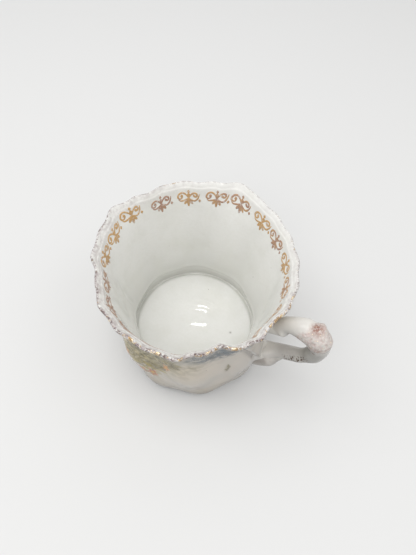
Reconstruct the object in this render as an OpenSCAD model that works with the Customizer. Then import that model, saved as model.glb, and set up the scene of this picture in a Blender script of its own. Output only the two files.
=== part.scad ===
// Demitasse cup: lobed porcelain bowl on a scalloped foot, twig handle with a leaf, gilt lip and border.
// The origin is at the middle of the foot on the table, +Z is up and the handle points along +X.

/* [Bowl] */
// Height of the lip above the table
cup_h = 57; // [54:0.5:62]
// Mean outer radius of the lip
lip_r = 32.5; // [31.5:0.1:35]
// Outer radius of the neck, where the wall begins to flare
neck_r = 29.2; // [28.6:0.1:30.5]
// Height of the neck
neck_z = 42; // [39:0.5:44]
// Mean outer radius of the belly
belly_r = 29.4; // [28.9:0.1:30.5]
// Height of the belly
belly_z = 23; // [21:0.5:26]
// Lobes round the belly
belly_lobes = 8; // [6:1:10]
// Height of a belly lobe over the mean line
belly_lobe_d = 1.1; // [0.2:0.1:1.4]
// Outer radius of the waist above the foot
waist_r = 28.2; // [27.6:0.1:28.6]
// Height of the waist
waist_z = 9; // [8:0.5:11]

/* [Wall] */
// Thickness of the lip
lip_t = 1.2; // [0.8:0.1:1.6]
// Distance by which the rolled lip reaches out from the wall inside
roll_w = 1; // [0.6:0.1:1.4]
// Height of the rolled lip
roll_h = 2; // [1.6:0.1:2.4]
// Thickness of the wall at the neck
neck_t = 1.6; // [1.4:0.1:2.4]
// Thickness of the wall at the belly
belly_t = 4; // [3:0.1:4.6]
// Height at which the inside has the belly's width
belly_in_z = 26; // [24:0.5:30]
// Share of the belly lobes that shows inside
inside_lobe = 0.5; // [0:0.1:1]
// Thickness of the wall from the waist to the cove inside
cove_t = 4.9; // [4:0.1:5.4]
// Height of the cove above the floor
cove_h = 7.7; // [6.5:0.1:9]
// Thickness of the wall from the foot to the edge of the floor
foot_t = 3.7; // [3:0.1:4.5]
// Thickness of the floor
floor_t = 3.8; // [3:0.1:5]
// Depth of the groove round the floor
groove_d = 0.3; // [0.1:0.1:0.8]
// Width of the groove round the floor
groove_w = 1.2; // [0.8:0.1:2]

/* [Lip outline] */
// Small scallops round the lip
scallops = 22; // [16:1:28]
// Height of a small scallop over the mean line
scallop_d = 0.25; // [0.1:0.05:0.4]
// Reach of a whole bow of the lip over the mean line
bow_d = 1; // [0.6:0.05:1.1]
// Height of a whole wave of the lip over the mean line
wave_d = 1; // [0.4:0.1:1.2]
// Height at which the bows of the lip start in the wall
lobe_z = 16; // [12:1:22]

/* [Foot] */
// Outer radius of the spreading foot
foot_r = 28; // [27.6:0.1:29]
// Height of the widest line of the foot
foot_z = 3; // [2.4:0.1:4]
// Scallops round the foot
foot_scallops = 9; // [6:1:12]
// Height of a foot scallop over the mean line
foot_scallop_d = 0.55; // [0.1:0.05:0.8]
// Height of the foot ring
ring_h = 1.2; // [0.8:0.1:1.8]
// Width of the foot ring
ring_w = 3.2; // [2:0.1:4]
// Distance from the outside of the foot to the foot ring
ring_inset = 2.3; // [1.8:0.1:3]
// Rounding of the foot ring's edges
ring_round = 0.3; // [0.1:0.1:0.6]
// Rise of the underside within the foot ring
recess_d = 1.8; // [1:0.1:2.4]

/* [Handle] */
// Reach of the handle's middle line beyond the neck
handle_reach = 16.8; // [14:0.1:20]
// Height of the highest point of the handle's middle line
handle_top = 52.2; // [51:0.1:54]
// Height at which the handle's middle line meets the wall below
handle_foot = 23.3; // [22:0.1:26]
// Thickness of the arms
arm_t = 5.2; // [4:0.1:6]
// Thickness of the thumb knob
knob_t = 7.8; // [6:0.1:8.4]
// Widening of the arms at the wall, as a factor
arm_flare = 1.05; // [1:0.05:1.3]
// Angle below the horizontal at which the upper arm runs into the wall
upper_dip = 25; // [10:1:40]
// Angle below the horizontal at which the lower arm runs into the wall
lower_dip = 50; // [35:1:55]
// Slip joint between the wall and what is stuck on it
slip_gap = 0.1; // [0.09:0.01:0.15]

/* [Leaf] */
// Length of the leaf along the lower arm's free part, in points of the handle's line
leaf_span = 0.9; // [0.4:0.05:1.2]
// Thickness of the leaf under the lower arm
leaf_t = 0.6; // [0.5:0.1:1.2]
// How far the leaf stands off the arm at the wall
leaf_flare = 4.8; // [3:0.1:5.4]
// Angle below the horizontal at which the leaf runs into the wall
leaf_dip = 32; // [28:1:45]
// Angle that the leaf covers round the arm on its near side
leaf_wrap = 88; // [55:1:95]
// Share of that angle on the far side of the arm
leaf_far = 0.6; // [0.4:0.05:1]
// Lobes along each edge of the leaf
leaf_lobes = 2; // [1:1:4]

/* [Gilding] */
// Thickness of the gilding
gilt_t = 0.1; // [0.06:0.01:0.2]
// Depth to which the gilt band reaches down the outside of the lip
band_w = 1.3; // [0.9:0.1:2]
// Distance from the lip down to the middle of the border
border_drop = 5.5; // [5.2:0.1:7]
// Width of a border motif
motif_w = 7.6; // [6.6:0.1:8]
// Width of the scrolls' strokes
stroke_w = 0.45; // [0.3:0.05:0.5]
// Width of the petals and dots
petal_w = 0.75; // [0.5:0.05:0.85]

/* [Hidden] */

// Bows of the lip: angle from the handle, and reach out from the mean radius in whole bows
LIP_LOBES = [
    [5, 0.3], [30, 0], [58, -0.3], [80, -0.1], [95, 1.9], [109, -0.2], [119, -0.9], [136, -0.1],
    [157, -1.3], [168, -0.4], [180, 1.2], [194, 0], [212, -0.1], [225, -1.4], [246, 0.2], [272, 0.7],
    [294, 1.3], [305, -0.4], [317, -2.1], [325, -0.4], [331, 0.1], [338, 0.8], [345, -0.7],
    [351, -0.4]
];
// Waves of the lip: angle from the handle, and height over the mean lip in whole waves
LIP_LIFTS = [
    [5, 0.4], [45, -0.2], [95, 0.8], [137, -0.2], [180, 0.6], [225, -0.3], [290, 0.6], [317, -0.3]
];
// Angles of one lobe of the belly and one scallop of the foot
belly_turn = 346.5;
foot_turn = 270;
// Middles of the border motifs, laid by hand a little unevenly
MOTIF_ANGLES = [18, 36, 55, 72, 92, 109, 129, 149, 172, 190, 207, 226, 244, 262, 280, 299, 319, 339, 358];

// How fast the bows, scallops and waves of the lip grow towards it
lobe_power = 2.5;
scallop_power = 8;
lift_power = 3;
// Share by which the flare is steeper at the lip than on the way there
lip_kick = 1.5;

// Facets round one scallop, round the foot ring, round an arm and between two points of the handle's line
SCALLOP_FACETS = 5;
RING_FACETS = 120;
ARM_FACETS = 20;
ARM_STEPS = 5;
// Rows up the cove, the wall and the spreading foot
COVE_STEPS = 3;
WALL_STEPS = 12;
FOOT_STEPS = 2;
around = scallops * SCALLOP_FACETS;

base_z = ring_h;
floor_z = ring_h + recess_d + floor_t;
cove_z = floor_z + cove_h;
floor_r = foot_r - foot_t;
cove_r = waist_r - cove_t;
ring_r = foot_r - ring_inset;
lip_in = lip_r - lip_t;
lip_side_z = cup_h - lip_t / 2;
band_z = cup_h - band_w;
roll_z = cup_h - roll_h;
border_z = cup_h - border_drop;
foot_edge = (foot_r - ring_r) / 2;

// Section of the wall outside and inside: radius and height
OUTSIDE = [
    [foot_r - foot_edge / 2, base_z + foot_edge / 4], [foot_r, foot_z], [waist_r, waist_z],
    [belly_r, belly_z], [neck_r, neck_z], [lip_r, cup_h]
];
INSIDE = [
    [floor_r, floor_z], [cove_r, cove_z], [belly_r - belly_t, belly_in_z],
    [neck_r - neck_t, neck_z], [lip_in - roll_w, roll_z]
];

// Middle line of the handle: shares of its reach beyond the neck and of its rise
EAR = [
    [0.215, 0.77], [0.35, 0.92], [0.62, 1], [0.87, 0.97], [1, 0.8], [0.96, 0.58], [0.8, 0.41],
    [0.53, 0.25], [0.26, 0.125], [0, 0]
];
arm = arm_t / 2;
knob = knob_t / 2;
// Half sizes of the handle's section, in the handle's plane and across it
EAR_HALF = [
    [arm * 1.15, arm * 1.15], [arm * 1.06, arm * 1.03], [knob * 0.94, knob * 0.9], [knob * 1.02, knob],
    [arm * 1.24, arm * 1.3], [arm * 1.17, arm * 1.12], [arm * 0.95, arm * 0.9], [arm * 1.04, arm],
    [arm * 0.9, arm * 0.95], [arm, arm * 1.1]
];
// The lower arm's last ring stops short of the line's end by this share of a point
seat_back = 0.7;
ear_last = len(EAR) - 1 - seat_back;

// Value at an angle through knots of angle and value, eased from knot to knot
function eased(knots, phi) =
    let (
        turn = (phi - knots[0][0] + 720) % 360 + knots[0][0],
        here = max([for (k = [0:len(knots) - 1]) if (knots[k][0] <= turn) k]),
        next = (here + 1) % len(knots),
        reach = knots[next][0] + (next == 0 ? 360 : 0) - knots[here][0],
        ease = (1 - cos(180 * (turn - knots[here][0]) / reach)) / 2
    )
    knots[here][1] * (1 - ease) + knots[next][1] * ease;

// Slope of a wall section between two of its points, and at one of them
function rise(section, k) = (section[k + 1][0] - section[k][0]) / (section[k + 1][1] - section[k][1]);
function slope(section, k) =
    k == 0 ? rise(section, 0)
    : k == len(section) - 1 ? lip_kick * rise(section, k - 1)
    : (rise(section, k - 1) + rise(section, k)) / 2;

// Radius of a wall section at a height, on a cubic through its points
function radius_at(section, z) =
    let (
        last = len(section) - 2,
        k = [for (j = [0:last]) if (j == last || z <= section[j + 1][1]) j][0],
        step = section[k + 1][1] - section[k][1],
        u = (z - section[k][1]) / step
    )
    (2 * u^3 - 3 * u^2 + 1) * section[k][0] + (u^3 - 2 * u^2 + u) * step * slope(section, k)
    + (3 * u^2 - 2 * u^3) * section[k + 1][0] + (u^3 - u^2) * step * slope(section, k + 1);

function lip_share(z) = max(0, (z - lobe_z) / (cup_h - lobe_z));
function foot_share(z) = min(1, max(0, (waist_z - z) / (waist_z - foot_z)));
function belly_share(z) =
    z <= foot_z || z >= cup_h ? 0
    : z < belly_z ? (1 - cos(180 * (z - foot_z) / (belly_z - foot_z))) / 2
    : (1 + cos(180 * (z - belly_z) / (cup_h - belly_z))) / 2;

// A row of the bowl: radius, height, and shares of the lip's bows, scallops and waves, of the foot's scallops
// and of the belly's lobes
function plain_row(r, z, foot = 0) = [r, z, 0, 0, 0, foot, 0];
function wall_row(section, z, foot, belly) =
    let (share = lip_share(z))
    [radius_at(section, z), z, share^lobe_power, share^scallop_power, share^lift_power, foot, belly];
function outside_row(z) = wall_row(OUTSIDE, z, foot_share(z), belly_share(z));
function inside_row(z) = wall_row(INSIDE, z, 0, inside_lobe * belly_share(z));
function lip_row(r, z) = [r, z, 1, 1, 1, 0, 0];

function row_radius(row, phi) =
    row[0] + row[2] * bow_d * eased(LIP_LOBES, phi) + row[3] * scallop_d * cos(scallops * phi)
    + row[5] * foot_scallop_d * cos(foot_scallops * (phi - foot_turn))
    + row[6] * belly_lobe_d * cos(belly_lobes * (phi - belly_turn));
function row_point(row, phi, inward = 0) =
    let (r = row_radius(row, phi) - inward)
    [r * cos(phi), r * sin(phi), row[1] + row[4] * wave_d * eased(LIP_LIFTS, phi)];
function row_ring(row) = [for (i = [0:around - 1]) row_point(row, i * 360 / around)];

// Rows from the lip's inside over its crest to its outside, grown by a film's thickness
function lip_rows(film = 0) = [
    lip_row(lip_in - film, lip_side_z),
    lip_row((lip_in + lip_r) / 2, cup_h + film),
    lip_row(lip_r + film, lip_side_z)
];

function between(low, high, steps) = [for (i = [1:steps - 1]) low + (high - low) * i / steps];
function flat_list(rings) = [for (ring = rings) each ring];

// Triangles between neighbouring rings of the same length
function strip(first, second, count) = [
    for (i = [0:count - 1])
        let (j = (i + 1) % count)
        each [[first + i, first + j, second + j], [first + i, second + j, second + i]]
];

// A closed skin from pole to pole over a list of rings
module capped_rings(pole, rings, end_pole) {
    count = len(rings[0]);
    last = (len(rings) - 1) * count;
    start = len(rings) * count;
    polyhedron(
        concat(flat_list(rings), [pole, end_pole]),
        concat(
            [for (i = [0:count - 1]) [start, (i + 1) % count, i]],
            [for (j = [0:len(rings) - 2]) each strip(j * count, (j + 1) * count, count)],
            [for (i = [0:count - 1]) [start + 1, last + i, last + (i + 1) % count]]
        )
    );
}

// A closed skin over rings that come back to the first one, with the rings' order turned
module looped_rings(rings) {
    count = len(rings[0]);
    faces = [for (j = [0:len(rings) - 1]) each strip(j * count, (j + 1) % len(rings) * count, count)];
    polyhedron(flat_list(rings), [for (face = faces) [face[2], face[1], face[0]]]);
}

// A closed skin over rings whose two ends are flat ribbons, front half against back half
module ribbon_rings(rings) {
    count = len(rings[0]);
    last = (len(rings) - 1) * count;
    half = count / 2;
    polyhedron(
        flat_list(rings),
        concat(
            [for (i = [0:half - 2]) each [[i, count - 2 - i, i + 1], [i, count - 1 - i, count - 2 - i]]],
            [for (j = [0:len(rings) - 2]) each strip(j * count, (j + 1) * count, count)],
            [
                for (i = [0:half - 2])
                    each [
                        [last + i, last + i + 1, last + count - 2 - i],
                        [last + i, last + count - 2 - i, last + count - 1 - i]
                    ]
            ]
        )
    );
}

// Bowl with its floor, groove, cove, wall, lip and recessed underside
BOWL_ROWS = concat(
    [
        plain_row(floor_r / 2, floor_z),
        plain_row(floor_r - groove_w, floor_z),
        plain_row(floor_r - groove_w / 2, floor_z - groove_d)
    ],
    [inside_row(floor_z)],
    [for (z = between(floor_z, cove_z, COVE_STEPS)) inside_row(z)],
    [inside_row(cove_z)],
    [for (z = between(cove_z, roll_z, WALL_STEPS)) inside_row(z)],
    [inside_row(roll_z)],
    lip_rows(),
    [outside_row(band_z)],
    [for (z = between(band_z, waist_z, WALL_STEPS)) outside_row(z)],
    [outside_row(waist_z)],
    [for (z = between(waist_z, foot_z, FOOT_STEPS)) outside_row(z)],
    [outside_row(foot_z)],
    [
        plain_row(foot_r - foot_edge, base_z, foot_share(base_z)),
        plain_row(ring_r - ring_w - foot_edge / 2, base_z),
        plain_row(ring_r - ring_w - foot_edge * 2, base_z + recess_d)
    ]
);

module bowl() {
    color([0.93, 0.93, 0.9])
        capped_rings([0, 0, floor_z], [for (row = BOWL_ROWS) row_ring(row)], [0, 0, base_z + recess_d]);
}

module foot_ring() {
    inner = ring_r - ring_w;
    color([0.86, 0.82, 0.76])
        rotate_extrude($fn = RING_FACETS)
            polygon([
                [inner, ring_h], [inner, ring_round], [inner + ring_round, 0],
                [ring_r - ring_round, 0], [ring_r, ring_round], [ring_r, ring_h]
            ]);
}

// Point on a smooth line through points, with t counted in points
function along(points, t) =
    let (
        last = len(points) - 1,
        k = min(floor(t), last - 1),
        u = t - k,
        b = points[k],
        c = points[k + 1],
        a = k == 0 ? 2 * b - c : points[k - 1],
        d = k + 2 > last ? 2 * c - b : points[k + 2]
    )
    (2 * b + (c - a) * u + (2 * a - 5 * b + 4 * c - d) * u^2 + (3 * b - a - 3 * c + d) * u^3) / 2;

function ear_point(share) =
    [neck_r + handle_reach * share[0], handle_foot + (handle_top - handle_foot) * share[1]];
EAR_LINE = [for (share = EAR) ear_point(share)];

// Direction of the handle's line, from a short step either way
function ear_way(t) =
    let (
        step = 0.02,
        way = along(EAR_LINE, min(t + step, len(EAR) - 1)) - along(EAR_LINE, max(t - step, 0))
    )
    way / norm(way);

// Point of the handle's section: a runs round it from the outer side, grown by a distance and a factor
function ear_section(t, a, grow = 0, factor = 1) =
    let (
        middle = along(EAR_LINE, t),
        way = ear_way(t),
        half = along(EAR_HALF, t),
        flat = factor * (half[0] + grow) * cos(a)
    )
    [middle[0] - way[1] * flat, factor * (half[1] + grow) * sin(a), middle[1] + way[0] * flat];

// Outer radius of the bowl at a point's height and angle
function wall_outside(p) =
    let (
        phi = atan2(p[1], p[0]),
        z = p[2] - lip_share(p[2])^lift_power * wave_d * eased(LIP_LIFTS, phi)
    )
    row_radius(outside_row(z), phi);

// Slide a point along a direction until it lies a slip joint away from the wall
function on_wall(p, way, tries = 8) =
    tries == 0 ? p
    : let (
        r = norm([p[0], p[1]]),
        off = r - wall_outside(p) - slip_gap,
        toward = (p[0] * way[0] + p[1] * way[1]) / r
    )
    on_wall(p - way * off / toward, way, tries - 1);

function ear_seat(t, dip, a, grow, factor) =
    on_wall(ear_section(t, a, grow, factor), [-cos(dip), 0, -sin(dip)]);

ARM_ANGLES = [for (i = [0:ARM_FACETS - 1]) 360 * i / ARM_FACETS];
// Share of an arm's width at which a second ring lies on the wall
seat_core = 0.5;

// Rings from one wall joint along the arms to the other
module handle() {
    steps = floor(ear_last * ARM_STEPS);
    start_rings = [
        for (factor = [seat_core, arm_flare]) [for (a = ARM_ANGLES) ear_seat(0, upper_dip, a, 0, factor)]
    ];
    arm_rings = [for (k = [0:steps]) [for (a = ARM_ANGLES) ear_section(ear_last * k / steps, a)]];
    end_rings = [
        for (factor = [arm_flare, seat_core]) [for (a = ARM_ANGLES) ear_seat(ear_last, lower_dip, a, 0, factor)]
    ];
    color([0.92, 0.91, 0.89])
        capped_rings(
            ear_seat(0, upper_dip, 0, 0, 0),
            concat(start_rings, arm_rings, end_rings),
            ear_seat(ear_last, lower_dip, 0, 0, 0)
        );
}

// Leaf that wraps the lower arm from below, from the wall to its tip
LEAF_STEPS = 12;
LEAF_FACETS = 7;
// Share of the leaf's rows between the wall and the arm's last ring
leaf_root = 0.5;
// Share of the thickness by which a second ring on the wall lies within the first
seat_inset = 0.3;
// Share of its thickness at the edges, share of its width that is lost at the tip, and how deep it is notched
leaf_edge = 0.2;
leaf_narrow = 0.55;
leaf_notch = 0.1;
// How suddenly it thins towards the edges, narrows towards the tip and comes down to the arm
leaf_round = 4;
leaf_taper = 4;
leaf_fall = 2.2;

function leaf_cut(u) = u < leaf_root ? 0 : leaf_notch * (1 - cos(360 * leaf_lobes * u)) / 2;
function leaf_width(u) = leaf_wrap * (1 - leaf_narrow * u^leaf_taper) * (1 - leaf_cut(u));
function leaf_body(u, v) =
    (leaf_t + leaf_flare * (1 - u^leaf_fall)) * (1 - (1 - leaf_edge) * abs(v)^leaf_round)
    * (1 - leaf_cut(u) * abs(v)) * (1 - (1 - leaf_far) * max(0, v));
function leaf_point(u, v, thick) =
    let (
        root = max(0, 1 - u / leaf_root),
        t = ear_last - leaf_span * max(0, u - leaf_root) / (1 - leaf_root),
        grow = slip_gap + thick * leaf_body(u, v),
        a = leaf_width(u) * v * (v > 0 ? leaf_far : 1),
        dip = lower_dip + thick * (leaf_dip - lower_dip)
    )
    root == 0 ? ear_section(t, a, grow)
    : root * ear_seat(t, dip, a, grow, arm_flare) + (1 - root) * ear_section(t, a, grow);
function leaf_ring(u, inset = 0) = concat(
    [for (i = [-LEAF_FACETS:LEAF_FACETS]) leaf_point(u, i / LEAF_FACETS, inset)],
    [for (i = [LEAF_FACETS:-1:-LEAF_FACETS]) leaf_point(u, i / LEAF_FACETS, 1 - inset)]
);

module handle_leaf() {
    color([0.9, 0.89, 0.87])
        ribbon_rings(concat(
            [leaf_ring(0, seat_inset)],
            [for (k = [0:LEAF_STEPS]) leaf_ring(k / LEAF_STEPS)]
        ));
}

// Gilt film on the lip, from its inside over its crest to its outside and back over the film
module rim_gilding() {
    film = lip_rows(gilt_t);
    rows = concat(
        [inside_row(roll_z)], lip_rows(), [outside_row(band_z)],
        [film[2], film[1], film[0]]
    );
    color([0.72, 0.55, 0.3])
        looped_rings([for (row = rows) row_ring(row)]);
}

// Border motif: scrolls and petals as lines in motif widths from the middle, x to the right as seen from
// within the cup and y up
SCROLL_LEFT = [
    [-0.05, 0.03], [-0.13, 0.16], [-0.26, 0.24], [-0.41, 0.2], [-0.475, 0.06], [-0.4, -0.03], [-0.31, 0.01],
    [-0.3, 0.08]
];
SCROLL_RIGHT = [
    [0.05, 0.03], [0.13, 0.16], [0.25, 0.24], [0.35, 0.2], [0.37, 0.1], [0.3, 0.06], [0.25, 0.11]
];
ARM_LEFT = [[-0.05, -0.05], [-0.13, -0.11], [-0.24, -0.15], [-0.35, -0.15], [-0.45, -0.09]];
ARM_RIGHT = [[0.05, -0.05], [0.14, -0.12], [0.27, -0.16], [0.38, -0.08], [0.45, 0.06], [0.48, 0.2]];
PETALS = [
    [[0, -0.1], [0, -0.3], [0, -0.44]], [[-0.06, -0.15], [-0.125, -0.23], [-0.175, -0.31]],
    [[0.06, -0.15], [0.13, -0.23], [0.185, -0.31]]
];
DOTS = [[0, 0.25], [0.5, -0.13]];
border_r = radius_at(INSIDE, border_z);

function motif_point(phi, p, inward) =
    row_point(inside_row(border_z + p[1]), phi - p[0] / border_r * 180 / PI, inward);
function line_side(line, k) =
    let (way = line[min(k + 1, len(line) - 1)] - line[max(k - 1, 0)])
    [-way[1], way[0]] / norm(way);

// Gilt stroke on the inner wall along a line, with its width at each point
module gilt_stroke(phi, line, widths) {
    rings = [
        for (k = [0:len(line) - 1])
            let (
                p = line[k] * motif_w,
                side = line_side(line, k) * widths[k] / 2
            )
            [
                motif_point(phi, p - side, slip_gap + gilt_t), motif_point(phi, p + side, slip_gap + gilt_t),
                motif_point(phi, p + side, slip_gap), motif_point(phi, p - side, slip_gap)
            ]
    ];
    ribbon_rings(rings);
}

module gilt_line(phi, line) {
    gilt_stroke(phi, line, [for (p = line) stroke_w]);
}

module gilt_petal(phi, line) {
    gilt_stroke(phi, line, [stroke_w, petal_w, stroke_w]);
}

module gilt_dot(phi, p) {
    length = petal_w / motif_w / 2;
    gilt_stroke(phi, [p - [0, length], p, p + [0, length]], [stroke_w / 2, petal_w, stroke_w / 2]);
}

module inner_gilt_border() {
    color([0.74, 0.56, 0.36])
        for (phi = MOTIF_ANGLES) {
            for (line = [SCROLL_LEFT, SCROLL_RIGHT, ARM_LEFT, ARM_RIGHT])
                gilt_line(phi, line);
            for (line = PETALS)
                gilt_petal(phi, line);
            for (p = DOTS)
                gilt_dot(phi, p);
        }
}

bowl();
foot_ring();
handle();
handle_leaf();
rim_gilding();
inner_gilt_border();
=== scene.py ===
"""Looks of a demitasse cup: glazed bowl with a floral print, twig handle, moulded leaf and worn gilding."""

import math

import bmesh
import bpy
import numpy as np
from mathutils import Matrix, Vector, noise


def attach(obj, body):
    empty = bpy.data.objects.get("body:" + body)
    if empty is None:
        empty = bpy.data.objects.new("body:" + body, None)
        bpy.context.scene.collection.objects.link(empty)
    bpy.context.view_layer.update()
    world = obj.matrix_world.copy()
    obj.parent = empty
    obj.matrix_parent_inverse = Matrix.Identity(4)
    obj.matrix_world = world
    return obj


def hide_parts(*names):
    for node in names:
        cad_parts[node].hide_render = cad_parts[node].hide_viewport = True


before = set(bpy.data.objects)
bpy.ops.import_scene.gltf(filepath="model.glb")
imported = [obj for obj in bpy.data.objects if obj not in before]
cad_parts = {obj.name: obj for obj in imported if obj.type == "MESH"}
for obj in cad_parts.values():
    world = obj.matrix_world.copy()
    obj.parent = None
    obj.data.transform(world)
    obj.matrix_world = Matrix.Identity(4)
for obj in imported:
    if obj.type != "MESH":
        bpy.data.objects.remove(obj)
scene = bpy.context.scene
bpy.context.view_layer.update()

MM = 0.001

# Sizes of the bowl in millimetres, as in the part's source
CUP_H = 57.0
LIP_R = 32.5
LIP_T = 1.2
NECK_R = 29.2
NECK_Z = 42.0
BELLY_R = 29.4
BELLY_Z = 23.0
BELLY_LOBES = 8
BELLY_LOBE_D = 1.1
BELLY_TURN = 346.5
WAIST_R = 28.2
WAIST_Z = 9.0
INSIDE_LOBE = 0.5
FLOOR_R = 24.3
FLOOR_Z = 6.8
COVE_Z = 14.5
GROOVE_W = 1.2
SCALLOPS = 22
SCALLOP_D = 0.25
LOBE_Z = 16.0
FOOT_R = 28.0
FOOT_Z = 3.0
FOOT_SCALLOPS = 9
FOOT_SCALLOP_D = 0.55
FOOT_TURN = 270.0
FOOT_EDGE = 1.15
RING_R = 25.7
RING_W = 3.2
RING_H = 1.2
RING_ROUND = 0.3
RECESS_D = 1.8
BAND_Z = 55.7
ROLL_W = 1.0
ROLL_Z = 55.0
BORDER_Z = 51.5
GILT_T = 0.1
LOBE_POWER = 2.5
SCALLOP_POWER = 8
LIFT_POWER = 3
LIP_KICK = 1.5
LIP_IN = LIP_R - LIP_T
LIP_SIDE_Z = CUP_H - LIP_T / 2
# Groove round the floor, shallower than in the source, and the faint ridge where the cove ends
GROOVE_D = 0.18
COVE_RIDGE = 0.22
COVE_RIDGE_W = 1.0

# Section of the wall outside and inside: radius and height
OUTSIDE = [
    (27.425, 1.4875), (FOOT_R, FOOT_Z), (WAIST_R, WAIST_Z), (BELLY_R, BELLY_Z), (NECK_R, NECK_Z),
    (LIP_R, CUP_H),
]
INSIDE = [(FLOOR_R, FLOOR_Z), (23.3, COVE_Z), (25.4, 26.0), (27.6, NECK_Z), (LIP_IN - ROLL_W, ROLL_Z)]
# Bows and waves of the lip: angle from the handle, and distance out or up from the mean lip
LIP_BOWS = [
    (5, 0.3), (30, 0), (58, -0.3), (80, -0.1), (95, 1.9), (109, -0.2), (119, -0.9), (136, -0.1), (157, -1.3),
    (168, -0.4), (180, 1.2), (194, 0), (212, -0.1), (225, -1.4), (246, 0.2), (272, 0.7), (294, 1.3),
    (305, -0.4), (317, -2.1), (325, -0.4), (331, 0.1), (338, 0.8), (345, -0.7), (351, -0.4),
]
LIP_WAVES = [(5, 0.4), (45, -0.2), (95, 0.8), (137, -0.2), (180, 0.6), (225, -0.3), (290, 0.6), (317, -0.3)]

# Handle: middle line in shares of its reach and rise, and half sizes in the handle's plane and across it
HANDLE_REACH = 16.8
HANDLE_FOOT = 23.3
HANDLE_RISE = 28.9
ARM = 2.6
KNOB = 3.9
ARM_FLARE = 1.05
UPPER_DIP = 25.0
LOWER_DIP = 50.0
EAR_LAST = 8.3
EAR = np.array([
    (0.215, 0.77), (0.35, 0.92), (0.62, 1), (0.87, 0.97), (1, 0.8), (0.96, 0.58), (0.8, 0.41), (0.53, 0.25),
    (0.26, 0.125), (0, 0),
])
EAR_LINE = np.array([NECK_R, HANDLE_FOOT]) + EAR * np.array([HANDLE_REACH, HANDLE_RISE])
EAR_HALF = np.array([
    (1.15 * ARM, 1.15 * ARM), (1.06 * ARM, 1.03 * ARM), (0.94 * KNOB, 0.9 * KNOB), (1.02 * KNOB, KNOB),
    (1.24 * ARM, 1.3 * ARM), (1.17 * ARM, 1.12 * ARM), (0.95 * ARM, 0.9 * ARM), (1.04 * ARM, ARM),
    (0.9 * ARM, 0.95 * ARM), (ARM, 1.1 * ARM),
])
# How far the stuck-on pieces and the gilding are set into the wall
SEAT_SUNK = 0.15
FILM_SUNK = 0.03

# Leaf on the lower arm, with a deeper notch in its edge than in the part's source
LEAF_ROOT = 0.5
LEAF_SPAN = 0.9
LEAF_T = 0.6
LEAF_FLARE = 4.8
LEAF_DIP = 32.0
LEAF_WRAP = 88.0
LEAF_FAR = 0.6
LEAF_LOBES = 2
LEAF_NARROW = 0.55
LEAF_NOTCH = 0.22
LEAF_EDGE = 0.2
LEAF_ROUND = 4
LEAF_TAPER = 4
LEAF_FALL = 2.2


def eased(knots, phi):
    """Values at angles in degrees through knots of angle and value, eased from knot to knot round the cup."""
    angles, values = np.array([*knots, (knots[0][0] + 360, knots[0][1])], float).T
    turn = (phi - angles[0]) % 360 + angles[0]
    here = np.clip(np.searchsorted(angles, turn, side="right") - 1, 0, len(knots) - 1)
    ease = (1 - np.cos(np.pi * (turn - angles[here]) / (angles[here + 1] - angles[here]))) / 2
    return values[here] * (1 - ease) + values[here + 1] * ease


def smooth(low, high, value):
    """0 below low, 1 above high and a smooth step between them; low may be above high."""
    share = np.clip((value - low) / (high - low), 0, 1)
    return share * share * (3 - 2 * share)


def window(marks, value):
    """1 between the second and third of four marks, 0 outside the first and last, and smooth between them."""
    return smooth(marks[0], marks[1], value) * smooth(marks[3], marks[2], value)


def cos_deg(angle):
    return np.cos(np.radians(angle))


def sin_deg(angle):
    return np.sin(np.radians(angle))


def wrapped(angle):
    """An angle in degrees as one from -180 to 180."""
    return (angle + 180) % 360 - 180


def angle_of(points):
    """Angles of points round the cup, in degrees."""
    return np.degrees(np.arctan2(points[..., 1], points[..., 0]))


def bell(distance, half):
    """1 at no distance, and a smooth fall over a half width."""
    return np.exp(-((distance / half) ** 2))


def radius_at(section, z):
    """Radius of a wall section at heights, on a cubic through its points."""
    r, h = np.array(section).T
    rises = np.diff(r) / np.diff(h)
    slopes = np.concatenate(([rises[0]], (rises[:-1] + rises[1:]) / 2, [LIP_KICK * rises[-1]]))
    k = np.clip(np.searchsorted(h[1:], z, side="left"), 0, len(h) - 2)
    step = h[k + 1] - h[k]
    u = (z - h[k]) / step
    start = (2 * u**3 - 3 * u**2 + 1) * r[k] + (u**3 - 2 * u**2 + u) * step * slopes[k]
    return start + (3 * u**2 - 2 * u**3) * r[k + 1] + (u**3 - u**2) * step * slopes[k + 1]


def belly_share(z):
    below = (1 - np.cos(np.pi * (z - FOOT_Z) / (BELLY_Z - FOOT_Z))) / 2
    above = (1 + np.cos(np.pi * (z - BELLY_Z) / (CUP_H - BELLY_Z))) / 2
    return np.where((z <= FOOT_Z) | (z >= CUP_H), 0, np.where(z < BELLY_Z, below, above))


def rows_of(r, z, bow=0.0, scallop=0.0, wave=0.0, foot=0.0, belly=0.0):
    """Rows of the bowl: radius, height, and shares of the lip's bows, scallops and waves, foot and belly."""
    return np.stack(np.broadcast_arrays(r, z, bow, scallop, wave, foot, belly), -1).astype(float)


def wall_rows(section, z, foot, belly):
    share = np.maximum(0, (z - LOBE_Z) / (CUP_H - LOBE_Z))
    powers = (share**LOBE_POWER, share**SCALLOP_POWER, share**LIFT_POWER)
    return rows_of(radius_at(section, z), z, *powers, foot, belly)


def outside_rows(z):
    foot = np.clip((WAIST_Z - z) / (WAIST_Z - FOOT_Z), 0, 1)
    return wall_rows(OUTSIDE, z, foot, belly_share(z))


def inside_rows(z):
    return wall_rows(INSIDE, z, 0.0, INSIDE_LOBE * belly_share(z))


def row_radius(rows, phi):
    lip = rows[..., 2] * eased(LIP_BOWS, phi) + rows[..., 3] * SCALLOP_D * cos_deg(SCALLOPS * phi)
    foot = rows[..., 5] * FOOT_SCALLOP_D * cos_deg(FOOT_SCALLOPS * (phi - FOOT_TURN))
    belly = rows[..., 6] * BELLY_LOBE_D * cos_deg(BELLY_LOBES * (phi - BELLY_TURN))
    return rows[..., 0] + lip + foot + belly


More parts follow.
